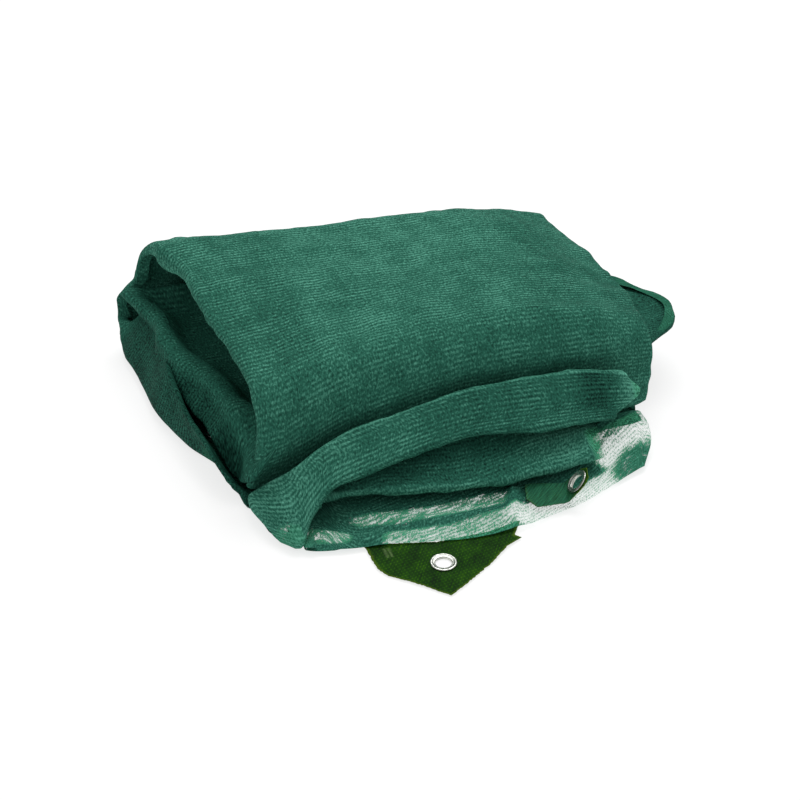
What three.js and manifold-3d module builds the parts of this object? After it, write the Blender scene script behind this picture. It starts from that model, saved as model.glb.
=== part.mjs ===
// Folded olive harvest net: a knitted net folded to a long strip, and the strip folded back and forth to a
// bundle, with two woven corner patches and their metal eyelets. Millimetres, +Z up, the floor at z = 0.
// X runs along the bundle, from its open left end to its right end. The front is towards -Y.
import * as THREE from 'three';
import { mergeVertices } from 'three/addons/utils/BufferGeometryUtils.js';
import Module from 'manifold-3d';

// Driving dimensions of the bundle.
const SHEET = 3;              // thickness of the folded strip
const TOP = 111;              // full height of the top layer's middle
const BACK = 278;             // middle of the back wall
const CORNER = 38;            // radius of the wrap's long corners
const INNER_LAYERS = 10;      // layers between the floor layer and the top layer
const EDGE_BEND = 8;          // largest radius where a side edge turns up or down
const END_SETBACK = 9.5;      // from the front crest's middle to the strip's inner end
// Slow unevenness, at its full height on the top layer.
const WAVE = { height: 2.2, alongX: 47, alongY: 58, startX: 0.6, startY: 1.1 };
const CENTRE = [24.5, 60.5];  // middle of the outline in X and Y, moved to the origin

// Driving dimensions of the patches and eyelets.
const PATCH = 1;              // thickness of the woven patch
const FIT_GAP = 0.3;          // gap between pieces that touch
const EYELET_OUTER = 21;
const EYELET_HOLE = 13;
const EYELET_SIDES = 32;
const FLANGE = 0.9;           // thickness of the eyelet's rims
const BARREL_WALL = 0.8;
const RIM_ROUND = 0.3;        // rounding of the rims' outer edges
const HOLE_FLARE = 0.6;       // how far the rims widen from the hole
const SLOPE_WIDTH = 2;        // width of the upper rim's falling edge
const PATCH_LEVEL = FLANGE + FIT_GAP;   // underside of the front patch above the floor

// Stations along X at which the fold table gives places.
const STATIONS = [-158, -140, -118, -70, 18, 100, 160, 210];
const BACK_LEVEL = [118, 116, 113, 110, 111, 109, 96, 76];     // top layer's middle along the back crest
const FRONT_LEVEL = [111, 111, 111, 111, 111, 111, 103, 85];   // the same along the front crest
const FACE_Y = [-17, -15, -8, 5, 15, 15, 17, 25];     // middle of the front face at each station
const FACE_FOOT_Y = [-2, 0, -2, 6, 15, 15, 17, 26];   // the same at its foot

// Folds in front of the bundle, in the order in which the strip runs. turn is 1 where it turns up and back,
// and -1 where it turns the other way. y and z are the middle of the turn at each station.
const FRONT_FOLDS = [
  { name: 'skirt hem', turn: 1, radius: 0, steps: 0,
    y: [-38, -70, -81, -88, -101, -85, -58, -40], z: [4, 4, 4, 4, 4, 4, 4, 5] },
  { name: 'recess', turn: 1, radius: 4, steps: 4,
    y: [-45, -42, -34, -27, -28, -20, -3, -3], z: [9, 9, 9, 10, 11, 12, 20, 32] },
  { name: 'inner lip', turn: -1, radius: 4.5, steps: 4,
    y: [-46, -46, -46, -37, -52, -49, -44, -40], z: [18, 18, 18, 20, 19, 18.5, 24, 30] },
  { name: 'tuck', turn: 1, radius: 4.5, steps: 3,
    y: [-36, -36, -34, -22, -12, -14, -6, -6], z: [30, 30, 30, 33, 37, 38, 36, 40] },
  { name: 'band edge', turn: -1, radius: 4.5, steps: 4,
    y: [-36, -62, -48, -38, -22, -28, -9, -5], z: [12, 14, 28, 40, 47, 48, 46, 48] },
  { name: 'band crest', turn: -1, radius: 4.5, steps: 5,
    y: [-17, -20, -27, -10, 0, 1, 1, -1], z: [15, 28, 46, 57, 68, 71, 66, 43] },
  { name: 'heel', turn: 1, radius: 5, steps: 3,
    y: [-8, -8, -13, -1, 9, 10, 10, 15], z: [6.5, 6.5, 6.5, 6.5, 6.5, 6.5, 6.5, 6.5] },
];

// Inner folds: how far each stays inside the wrap, from the lowest to the highest, as uneven as folding by hand.
const INNER_GAPS = [3, 4, 6, 3, 7, 3, 4, 6, 4];

// Stretches between the folds. left and right are the outlines in X at even steps along the stretch. leftTurn
// and rightTurn say how far the side edge turns up, or down where they are negative, and leftLean how far a
// turned left edge leans inwards.
const STRETCHES = [
  { name: 'skirt', steps: 4, left: [-154, -151, -144, -134], right: [172, 187, 192, 190] },
  { name: 'recess to lip', steps: 1, left: [-98, -92], right: [150, 142] },
  { name: 'under the band', steps: 2, left: [-92, -94], right: [140, 146] },
  { name: 'band underside', steps: 1, left: [-100, -125], right: [160, 172] },
  { name: 'band', steps: 3, left: [-156, -159], right: [178, 184] },
  { name: 'band back', steps: 2, left: [-158, -158], right: [184, 190] },
  { name: 'floor', steps: 9, left: [-160, -166, -173, -189, -200, -208, -211, -214, -219],
    leftTurn: [2, 27, 33, 36, 41, 47, 50, 50, 46], leftLean: [0, -11, -10, 0, 7, 18, 20, 15, 8],
    right: [200, 209, 214, 216, 212, 202] },
  { name: 'back wall', steps: 3, left: [-219, -217, -200, -196], leftTurn: [-3, -3], right: [190, 186] },
  { name: 'top', steps: 7, left: [-182, -160, -164, -161, -150, -147], leftTurn: [-16, -6, -5, -5, -5, -5],
    right: [196, 206, 213, 216, 215, 211], rightTurn: [-2, -4, -4, -4, -4, -4] },
  { name: 'front face', steps: 3, left: [-148, -150, -156], right: [211, 210] },
  { name: 'layer 1', steps: 4, left: [-140, -146, -158, -176, -194], right: [203, 212, 216, 212, 202] },
  { name: 'layer 2', steps: 4, left: [-194, -174, -156, -144, -138], right: [202, 212, 218, 212, 206] },
  { name: 'layer 3', steps: 5, left: [-137, -144, -154, -170, -190], right: [206, 212, 220, 214, 203] },
  { name: 'layer 4', steps: 4, left: [-190, -168, -154, -146, -140], right: [202, 212, 220, 214, 208] },
  { name: 'layer 5', steps: 6, left: [-136, -160, -174, -180, -186, -200],
    leftTurn: [-3, -14, -18, -14, -9, -5], right: [208, 216, 226, 216, 203] },
  { name: 'layer 6', steps: 7, left: [-213, -200, -197, -191, -177, -167, -162, -142],
    leftTurn: [-5, -5, -5, -4, -4, -5, -22, -2], right: [203, 214, 230, 234, 228, 208] },
  { name: 'layer 7', steps: 6, left: [-128, -126, -124, -132, -150],
    right: [207, 252, 268, 247, 223, 209, 201], rightTurn: [2, 4, 4, 3, 2, 2, 2] },
  { name: 'layer 8', steps: 4, left: [-150, -136, -126, -124, -130], right: [201, 212, 220, 216, 208] },
  { name: 'layer 9', steps: 4, left: [-128, -122, -122, -128, -150], right: [207, 212, 216, 210, 200] },
  { name: 'layer 10', steps: 4, left: [-148, -136, -128, -128, -132], right: [192, 200, 204, 204, 200] },
];
const LEFT_STEPS = 5;         // steps of a left edge's bend and upright part
const RIGHT_STEPS = 3;
const BEND_STEPS = 3;         // of them, the steps of the bend where there is an upright part
const BOW = 0.4;              // how far a leaning edge is bowed, from 0 for straight
const CROSS_SHARES = [0.1, 0.3, 0.5, 0.7, 0.9];   // columns between the two turned edges

// Value at place t on a smooth curve through evenly or unevenly placed knots, held level beyond the ends.
function smooth(knots, values, t) {
  const last = knots.length - 1;
  if (t <= knots[0]) return values[0];
  if (t >= knots[last]) return values[last];
  const i = knots.findIndex((knot) => knot > t) - 1;
  const slope = (k) => {
    const a = Math.max(k - 1, 0);
    const b = Math.min(k + 1, last);
    return (values[b] - values[a]) / (knots[b] - knots[a]);
  };
  const width = knots[i + 1] - knots[i];
  const u = (t - knots[i]) / width;
  const rise = values[i + 1] - values[i];
  const bendIn = slope(i) * width - rise;
  const bendOut = slope(i + 1) * width - rise;
  return values[i] + rise * u + u * (1 - u) * (bendIn * (1 - u) - bendOut * u);
}
const atStation = (values, x) => smooth(STATIONS, values, x);
const along = (values, u) => smooth(values.map((_, i) => i / (values.length - 1)), values, u);

// The wrap's four long corners: up the back, over the top, down the front face and in at its foot.
const topLevel = (levels, x) => atStation(levels, x);
const cornerRadius = (levels, x) => (CORNER * topLevel(levels, x)) / TOP;
const WRAP_FOLDS = [
  { name: 'back foot', turn: 1, steps: 5, place: (x) => {
    const r = cornerRadius(BACK_LEVEL, x);
    return { y: BACK - r, z: SHEET / 2 + r, r };
  } },
  { name: 'back crest', turn: 1, steps: 5, place: (x) => {
    const r = cornerRadius(BACK_LEVEL, x);
    return { y: BACK - r, z: topLevel(BACK_LEVEL, x) - r, r };
  } },
  { name: 'front crest', turn: 1, steps: 6, place: (x) => {
    const r = cornerRadius(FRONT_LEVEL, x);
    return { y: atStation(FACE_Y, x) + r, z: topLevel(FRONT_LEVEL, x) - r, r };
  } },
  { name: 'face foot', turn: 1, steps: 3, place: (x) => {
    const r = layerPitch(FRONT_LEVEL, x) / 2;
    return { y: atStation(FACE_FOOT_Y, x) + r, z: layerLevel(1, FRONT_LEVEL, x) + r, r };
  } },
];
const layerPitch = (levels, x) => (topLevel(levels, x) - SHEET / 2) / (INNER_LAYERS + 1);
const layerLevel = (k, levels, x) => SHEET / 2 + k * layerPitch(levels, x);

// Fold k joins layers k and k + 1: odd ones lie at the back, even ones at the front, inside the wrap's corners.
function innerFold(k, x) {
  const levels = k % 2 === 1 ? BACK_LEVEL : FRONT_LEVEL;
  const r = layerPitch(levels, x) / 2;
  const z = layerLevel(k, levels, x) + r;
  const [foot, crest] = [WRAP_FOLDS[0].place(x), WRAP_FOLDS[1].place(x)];
  const inside = crest.r - r - SHEET - INNER_GAPS[k - 1];
  if (k % 2 === 1) {
    const beyond = Math.max(z - crest.z, foot.z - z, 0);
    return { y: crest.y + Math.sqrt(Math.max(inside ** 2 - beyond ** 2, 0)), z, r };
  }
  const front = WRAP_FOLDS[2].place(x);
  const footY = atStation(FACE_FOOT_Y, x);
  const lean = (front.y - front.r - footY) * Math.min(z / front.z, 1);
  const room = Math.sqrt(Math.max(inside ** 2 - Math.max(z - front.z, 0) ** 2, 0));
  return { y: footY + lean + front.r - room, z, r };
}

const folds = [
  ...FRONT_FOLDS.map((fold) => ({
    ...fold, place: (x) => ({ y: atStation(fold.y, x), z: atStation(fold.z, x), r: fold.radius }),
  })),
  ...WRAP_FOLDS,
  ...INNER_GAPS.map((_, i) => ({ turn: i % 2 === 0 ? 1 : -1, steps: 3, place: (x) => innerFold(i + 1, x) })),
  { name: 'strip end', turn: 1, steps: 0, place: (x) => (
    { y: WRAP_FOLDS[2].place(x).y - END_SETBACK, z: layerLevel(INNER_LAYERS, FRONT_LEVEL, x), r: 0 }) },
];

// Heading of the straight stretch that leaves fold i and touches the next one, as an angle from +Y towards +Z.
function heading(i, x) {
  const [a, b] = [folds[i].place(x), folds[i + 1].place(x)];
  const side = folds[i + 1].turn * b.r - folds[i].turn * a.r;
  const reach = Math.hypot(b.y - a.y, b.z - a.z);
  return Math.atan2(b.z - a.z, b.y - a.y) - Math.asin(side / reach);
}
// Point of fold i's turn where the strip has a given heading.
function onFold(i, x, angle) {
  const { y, z, r } = folds[i].place(x);
  return [y + folds[i].turn * r * Math.sin(angle), z - folds[i].turn * r * Math.cos(angle)];
}
// Point of the turn at fold i, at share u of its arc. A sweep past the largest is a small turn the other way.
const LARGEST_SWEEP = 1.6 * Math.PI;
function turnPoint(i, x, u) {
  const from = heading(i - 1, x);
  const full = 2 * Math.PI;
  let sweep = (((heading(i, x) - from) * folds[i].turn) % full + full) % full;
  if (sweep > LARGEST_SWEEP) sweep -= full;
  return onFold(i, x, from + folds[i].turn * sweep * u);
}
// Point of the straight stretch i, at share u of its length.
function stretchPoint(i, x, u) {
  const angle = heading(i, x);
  const [from, to] = [onFold(i, x, angle), onFold(i + 1, x, angle)];
  return [from[0] + (to[0] - from[0]) * u, from[1] + (to[1] - from[1]) * u];
}

// Rows of the strip in order. Each has its point as a function of x, and its outline and turned edges.
const edge = (stretch, key, u) => along(stretch[key] ?? [0, 0], u);
const outline = (stretch, u) => ({
  left: along(stretch.left, u), right: along(stretch.right, u), leftLean: edge(stretch, 'leftLean', u),
  leftTurn: edge(stretch, 'leftTurn', u), rightTurn: edge(stretch, 'rightTurn', u),
});
const rows = [];
STRETCHES.forEach((stretch, i) => {
  if (i > 0) {
    const [before, after] = [outline(STRETCHES[i - 1], 1), outline(stretch, 0)];
    for (let k = 1; k < folds[i].steps; k += 1) {
      const u = k / folds[i].steps;
      const ease = u * u * (3 - 2 * u);
      const row = { point: (x) => turnPoint(i, x, u) };
      for (const key of Object.keys(before)) row[key] = before[key] + (after[key] - before[key]) * ease;
      rows.push(row);
    }
  }
  for (let k = 0; k <= stretch.steps; k += 1) {
    const u = k / stretch.steps;
    rows.push({ point: (x) => stretchPoint(i, x, u), ...outline(stretch, u) });
  }
});

// Point at a length along a side edge: level first, then a bend that ends at the edge's height or upright, and
// past a quarter turn straight on.
const BEND_LENGTH = (EDGE_BEND * Math.PI) / 2;
function edgePoint(size, length) {
  const angle = Math.acos(Math.max(1 - size / EDGE_BEND, 0));
  const level = BEND_LENGTH - EDGE_BEND * angle;
  const turned = THREE.MathUtils.clamp((length - level) / EDGE_BEND, 0, angle);
  return {
    out: Math.min(length, level) + EDGE_BEND * Math.sin(turned),
    lift: EDGE_BEND * (1 - Math.cos(turned)) + Math.max(length - BEND_LENGTH, 0),
  };
}
// Steps of a side edge from the rim inwards: how far each lies in from the outline, and how far it is lifted.
function turnedEdge(height, lean, steps) {
  const size = Math.abs(height);
  const upright = Math.max(size - EDGE_BEND, 0);
  const share = Math.min(upright / EDGE_BEND, 1);
  const outline = edgePoint(size, BEND_LENGTH).out;
  return Array.from({ length: steps + 1 }, (_, i) => {
    const k = steps - i;
    const even = ((BEND_LENGTH + upright) * k) / steps;
    const bent = k <= BEND_STEPS ? (BEND_LENGTH * k) / BEND_STEPS
      : BEND_LENGTH + (upright * (k - BEND_STEPS)) / (steps - BEND_STEPS);
    const length = even + (bent - even) * share;
    const { out, lift } = edgePoint(size, length);
    const rise = upright > 0 ? Math.max(length - BEND_LENGTH, 0) / upright : 0;
    return { inset: outline - out + lean * rise * (1 - BOW + BOW * rise), lift: Math.sign(height) * lift };
  });
}
// Slow rise and fall that all the layers share, none at the floor.
function unevenness(x, y, z) {
  const height = (WAVE.height * Math.max(z - SHEET / 2, 0)) / TOP;
  return height * Math.sin(x / WAVE.alongX + WAVE.startX) * Math.sin(y / WAVE.alongY + WAVE.startY);
}

const grid = rows.map((row) => {
  const leftEdge = turnedEdge(row.leftTurn, row.leftLean, LEFT_STEPS);
  const rightEdge = turnedEdge(row.rightTurn, 0, RIGHT_STEPS).reverse();
  const from = row.left + leftEdge.at(-1).inset;
  const to = row.right - rightEdge[0].inset;
  const columns = [
    ...leftEdge.map((e) => [row.left + e.inset, e.lift]),
    ...CROSS_SHARES.map((u) => [from + (to - from) * u, 0]),
    ...rightEdge.map((e) => [row.right - e.inset, e.lift]),
  ];
  return columns.map(([x, lift]) => {
    const [y, z] = row.point(x);
    return new THREE.Vector3(x, y, z + lift + unevenness(x, y, z));
  });
});

// Closed solid from a grid of middle points: two faces half a thickness apart, joined round the rim.
function sheetSolid(points, thickness) {
  const rowCount = points.length;
  const columnCount = points[0].length;
  const size = rowCount * columnCount;
  const positions = new Float32Array(size * 6);
  points.forEach((row, i) => row.forEach((p, j) => {
    const down = points[Math.min(i + 1, rowCount - 1)][j].clone().sub(points[Math.max(i - 1, 0)][j]);
    const across = row[Math.min(j + 1, columnCount - 1)].clone().sub(row[Math.max(j - 1, 0)]);
    const normal = across.cross(down).normalize().multiplyScalar(thickness / 2);
    p.clone().add(normal).toArray(positions, (i * columnCount + j) * 3);
    p.clone().sub(normal).toArray(positions, (size + i * columnCount + j) * 3);
  }));
  const index = [];
  const quad = (a, b, c, d) => index.push(a, b, c, a, c, d);
  for (let i = 0; i < rowCount - 1; i += 1) {
    for (let j = 0; j < columnCount - 1; j += 1) {
      const a = i * columnCount + j;
      quad(a, a + 1, a + columnCount + 1, a + columnCount);
      quad(size + a, size + a + columnCount, size + a + columnCount + 1, size + a + 1);
    }
  }
  const rim = [];
  for (let j = 0; j < columnCount - 1; j += 1) rim.push(j);
  for (let i = 0; i < rowCount - 1; i += 1) rim.push(i * columnCount + columnCount - 1);
  for (let j = columnCount - 1; j > 0; j -= 1) rim.push((rowCount - 1) * columnCount + j);
  for (let i = rowCount - 1; i > 0; i -= 1) rim.push(i * columnCount);
  rim.forEach((a, k) => {
    const b = rim[(k + 1) % rim.length];
    quad(b, a, size + a, size + b);
  });
  const geometry = new THREE.BufferGeometry();
  geometry.setAttribute('position', new THREE.BufferAttribute(positions, 3));
  geometry.setIndex(index);
  return geometry;
}

const wasm = await Module();
wasm.setup();
function toSolid(geometry) {
  const bare = geometry.clone();
  bare.deleteAttribute('normal');
  bare.deleteAttribute('uv');
  const merged = mergeVertices(bare, 1e-3);
  const vertProperties = merged.attributes.position.array;
  const triVerts = new Uint32Array(merged.index.array);
  return new wasm.Manifold(new wasm.Mesh({ numProp: 3, vertProperties, triVerts }));
}
function toGeometry(solid) {
  const mesh = solid.getMesh();
  const geometry = new THREE.BufferGeometry();
  geometry.setAttribute('position', new THREE.BufferAttribute(mesh.vertProperties, 3));
  geometry.setIndex(new THREE.BufferAttribute(mesh.triVerts, 1));
  return geometry;
}

// Eyelet: two rims joined by a short barrel through the patch. The lower rim is flat, and the upper one falls
// towards its edge. Its axis is Z, and its middle is the middle of the patch.
function eyeletGeometry() {
  const hole = EYELET_HOLE / 2;
  const outer = EYELET_OUTER / 2;
  const barrel = hole + BARREL_WALL;
  const inner = PATCH / 2 + FIT_GAP;
  const face = inner + FLANGE;
  const profile = [
    [hole, -inner], [hole + HOLE_FLARE, -face], [outer - 2 * RIM_ROUND, -face], [outer, -inner - RIM_ROUND],
    [outer - RIM_ROUND, -inner], [barrel, -inner], [barrel, inner], [outer - RIM_ROUND, inner],
    [outer, inner + RIM_ROUND], [outer - SLOPE_WIDTH / 2, face], [outer - SLOPE_WIDTH, face],
    [hole + HOLE_FLARE, face - HOLE_FLARE], [hole, inner], [hole, -inner],
  ].map(([r, z]) => new THREE.Vector2(r, z));
  const geometry = new THREE.LatheGeometry(profile, EYELET_SIDES);
  geometry.rotateX(Math.PI / 2);
  return geometry;
}
// Hole that an eyelet's barrel passes through.
function eyeletHole() {
  const radius = EYELET_HOLE / 2 + BARREL_WALL + FIT_GAP;
  const geometry = new THREE.CylinderGeometry(radius, radius, EYELET_OUTER, EYELET_SIDES);
  geometry.rotateX(Math.PI / 2);
  return geometry;
}

// Front patch: it lies flat, with its corner to the front. Outline from the seam's left end, round the corner.
const FRONT_PATCH = [
  [-82, -80], [-81, -88], [-79, -112], [-74, -122], [-55, -138], [-34, -158.5], [-18, -149], [10, -130],
  [27, -116], [41, -109], [37, -105], [47, -89], [18, -95], [-24, -95], [-55, -88],
];
const FRONT_EYELET = [-28, -121];
// Side patch: it lies on the skirt, turned a little, and its right end bends up. at is the place along the patch,
// and front and back are its edges there, from its middle line.
const SIDE_PATCH = { x: 61.3, y: -65, level: 8.6, turn: -14, bendAt: 30, bendRadius: 6, rise: 50 };
const SIDE_SECTIONS = [
  { at: 0, front: -8, back: 12 },
  { at: 7, front: -18, back: 13 },
  { at: 18, front: -16, back: 13 },
  { at: 30, front: -14, back: 12 },
  { at: 32, front: -13.5, back: 12 },
  { at: 34, front: -13, back: 12 },
  { at: 36, front: -12.5, back: 11.5 },
  { at: 46, front: -12, back: 11.5 },
  { at: 53, front: -11, back: 10.5 },
  { at: 58, front: -6, back: 6 },
];
const SIDE_EYELET_AT = 46;

function frontPatchGeometry() {
  const shape = new THREE.Shape(FRONT_PATCH.map(([x, y]) => new THREE.Vector2(x, y)));
  return new THREE.ExtrudeGeometry(shape, { depth: PATCH, bevelEnabled: false });
}
const frontEyeletLevel = PATCH_LEVEL + PATCH / 2;

// Middle line of the side patch at a length along it: level, a bend, then a straight rise.
function sidePatchPoint(length) {
  const { bendAt, bendRadius, rise } = SIDE_PATCH;
  const slope = THREE.MathUtils.degToRad(rise);
  const angle = THREE.MathUtils.clamp((length - bendAt) / bendRadius, 0, slope);
  const straight = Math.max(length - bendAt - bendRadius * slope, 0);
  return {
    x: Math.min(length, bendAt) + bendRadius * Math.sin(angle) + straight * Math.cos(slope),
    z: bendRadius * (1 - Math.cos(angle)) + straight * Math.sin(slope),
  };
}
function sidePatchGeometry() {
  const points = SIDE_SECTIONS.map(({ at, front, back }) => {
    const { x, z } = sidePatchPoint(at);
    return [front, front / 2, back / 2, back].map((y) => new THREE.Vector3(x, y, z));
  });
  return sheetSolid(points, PATCH);
}
const sidePlace = new THREE.Matrix4()
  .makeTranslation(SIDE_PATCH.x, SIDE_PATCH.y, SIDE_PATCH.level)
  .multiply(new THREE.Matrix4().makeRotationZ(THREE.MathUtils.degToRad(SIDE_PATCH.turn)));
const sideEyelet = sidePatchPoint(SIDE_EYELET_AT);
const sideEyeletPlace = sidePlace.clone()
  .multiply(new THREE.Matrix4().makeTranslation(sideEyelet.x, 0, sideEyelet.z))
  .multiply(new THREE.Matrix4().makeRotationY(-THREE.MathUtils.degToRad(SIDE_PATCH.rise)));

const materials = {
  net: { color: 0x2f7a63, roughness: 0.75, metalness: 0 },
  patch: { color: 0x35580f, roughness: 0.5, metalness: 0 },
  eyelet: { color: 0xc9ccc6, roughness: 0.3, metalness: 1 },
};
function named(name, geometry, look) {
  geometry.computeVertexNormals();
  const mesh = new THREE.Mesh(geometry, new THREE.MeshStandardMaterial(look));
  mesh.name = name;
  return mesh;
}

const group = new THREE.Group();
group.position.set(-CENTRE[0], -CENTRE[1], 0);

group.add(named('net', sheetSolid(grid, SHEET), materials.net));

const frontHole = eyeletHole().translate(FRONT_EYELET[0], FRONT_EYELET[1], frontEyeletLevel);
const frontPatch = toSolid(frontPatchGeometry().translate(0, 0, PATCH_LEVEL)).subtract(toSolid(frontHole));
group.add(named('corner_patch_front', toGeometry(frontPatch), materials.patch));

const frontEyelet = named('eyelet_front', eyeletGeometry(), materials.eyelet);
frontEyelet.position.set(FRONT_EYELET[0], FRONT_EYELET[1], frontEyeletLevel);
group.add(frontEyelet);

const sideHole = eyeletHole().applyMatrix4(sideEyeletPlace);
const sidePatch = toSolid(sidePatchGeometry().applyMatrix4(sidePlace)).subtract(toSolid(sideHole));
group.add(named('corner_patch_side', toGeometry(sidePatch), materials.patch));
group.add(named('eyelet_side', eyeletGeometry().applyMatrix4(sideEyeletPlace), materials.eyelet));

export default group;
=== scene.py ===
import math

import bpy
import numpy as np
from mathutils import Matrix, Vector


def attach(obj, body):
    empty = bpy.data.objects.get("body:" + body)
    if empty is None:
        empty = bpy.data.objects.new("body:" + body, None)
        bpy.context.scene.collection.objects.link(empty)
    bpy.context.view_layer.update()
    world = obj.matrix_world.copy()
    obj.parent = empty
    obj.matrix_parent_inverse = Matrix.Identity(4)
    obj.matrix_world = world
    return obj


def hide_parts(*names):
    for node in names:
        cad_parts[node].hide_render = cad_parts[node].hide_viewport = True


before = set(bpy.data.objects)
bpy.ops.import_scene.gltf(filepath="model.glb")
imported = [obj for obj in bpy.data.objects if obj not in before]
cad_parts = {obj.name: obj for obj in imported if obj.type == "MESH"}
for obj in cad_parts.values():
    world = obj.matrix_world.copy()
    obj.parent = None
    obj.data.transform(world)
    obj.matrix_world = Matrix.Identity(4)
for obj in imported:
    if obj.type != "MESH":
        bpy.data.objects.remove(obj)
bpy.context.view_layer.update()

# The net: knitted polyethylene harvest net of about 4 x 6 m, folded lengthwise to a strip 0.37 m wide, and
# the strip folded back and forth to a bundle. It is one surface, worked out in millimetres in the bundle's
# own frame: X along the bundle, the front towards -Y, the floor at z = 0.
CENTRE = np.array([24.5, 60.5, 0.0])     # the outline's middle, which becomes the origin
SHEET = 3.0                              # room that the strip takes up
TOP = 111.0                              # full height of the top layer
BACK = 278.0                             # middle of the back wall
CORNER = 38.0                            # radius of the wrap's long corners
INNER_LAYERS = 10
END_SETBACK = 9.5                        # from the front crest's middle to the strip's inner end
LARGEST_SWEEP = 1.6 * math.pi
INNER_GAPS = [3, 4, 6, 3, 7, 3, 4, 6, 4]

# Places along X, and what the tables of folds say at each.
STATIONS = [-158, -140, -128, -118, -98, -70, 18, 100, 160, 210]
BACK_LEVEL = [118, 116, 114.5, 113, 111.2, 110, 111, 109, 96, 76]
FRONT_LEVEL = [111, 111, 111, 111, 111, 111, 111, 111, 103, 85]
FACE_Y = [-17, -15, -12, -8, -1.5, 5, 15, 15, 17, 25]
FACE_FOOT_Y = [-2, 0, -1, -2, 1, 6, 15, 15, 17, 26]

# Folds in front of the bundle. turn is 1 where the strip turns up and back, and -1 where it turns the other
# way. y and z are the middle of the fold at each station.
FRONT_FOLDS = [
    dict(name="skirt hem", turn=1, radius=0, rows=0,
         y=[-38, -70, -77, -81, -85, -88, -101, -85, -58, -40], z=[4, 4, 4, 4, 4, 4, 4, 4, 4, 5]),
    dict(name="recess", turn=1, radius=4, rows=8,
         y=[-38, -34, -30, -27, -25, -26, -28, -20, -3, -3], z=[9, 9, 9, 9, 9.5, 10, 11, 12, 20, 32]),
    dict(name="inner lip", turn=-1, radius=4.5, rows=9,
         y=[-44, -42, -40, -38, -33, -37, -52, -49, -44, -40], z=[18, 18, 18, 18, 19, 20, 19, 18.5, 24, 30]),
    dict(name="tuck", turn=1, radius=4.5, rows=7,
         y=[-33, -32, -30, -28, -22, -20, -12, -14, -6, -6], z=[24, 26, 27, 28, 31, 33, 37, 37, 31, 31]),
    dict(name="band edge", turn=-1, radius=4.5, rows=12,
         y=[-38, -66, -71, -57, -42, -38, -22, -28, -15, -10], z=[9, 8, 9, 22, 36, 40, 47, 46, 36, 35]),
    dict(name="band crest", turn=-1, radius=4.5, rows=12,
         y=[-17, -20, -25, -27, -19, -10, 0, 1, 1, -1], z=[15, 28, 38, 46, 53, 57, 68, 71, 66, 43]),
    dict(name="heel", turn=1, radius=5, rows=7,
         y=[-8, -8, -11, -13, -8, -1, 9, 10, 10, 15], z=[6.5] * 10),
]
WRAP_ROWS = [16, 16, 18, 8]              # back foot, back crest, front crest, face foot
INNER_ROWS = 7

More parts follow.
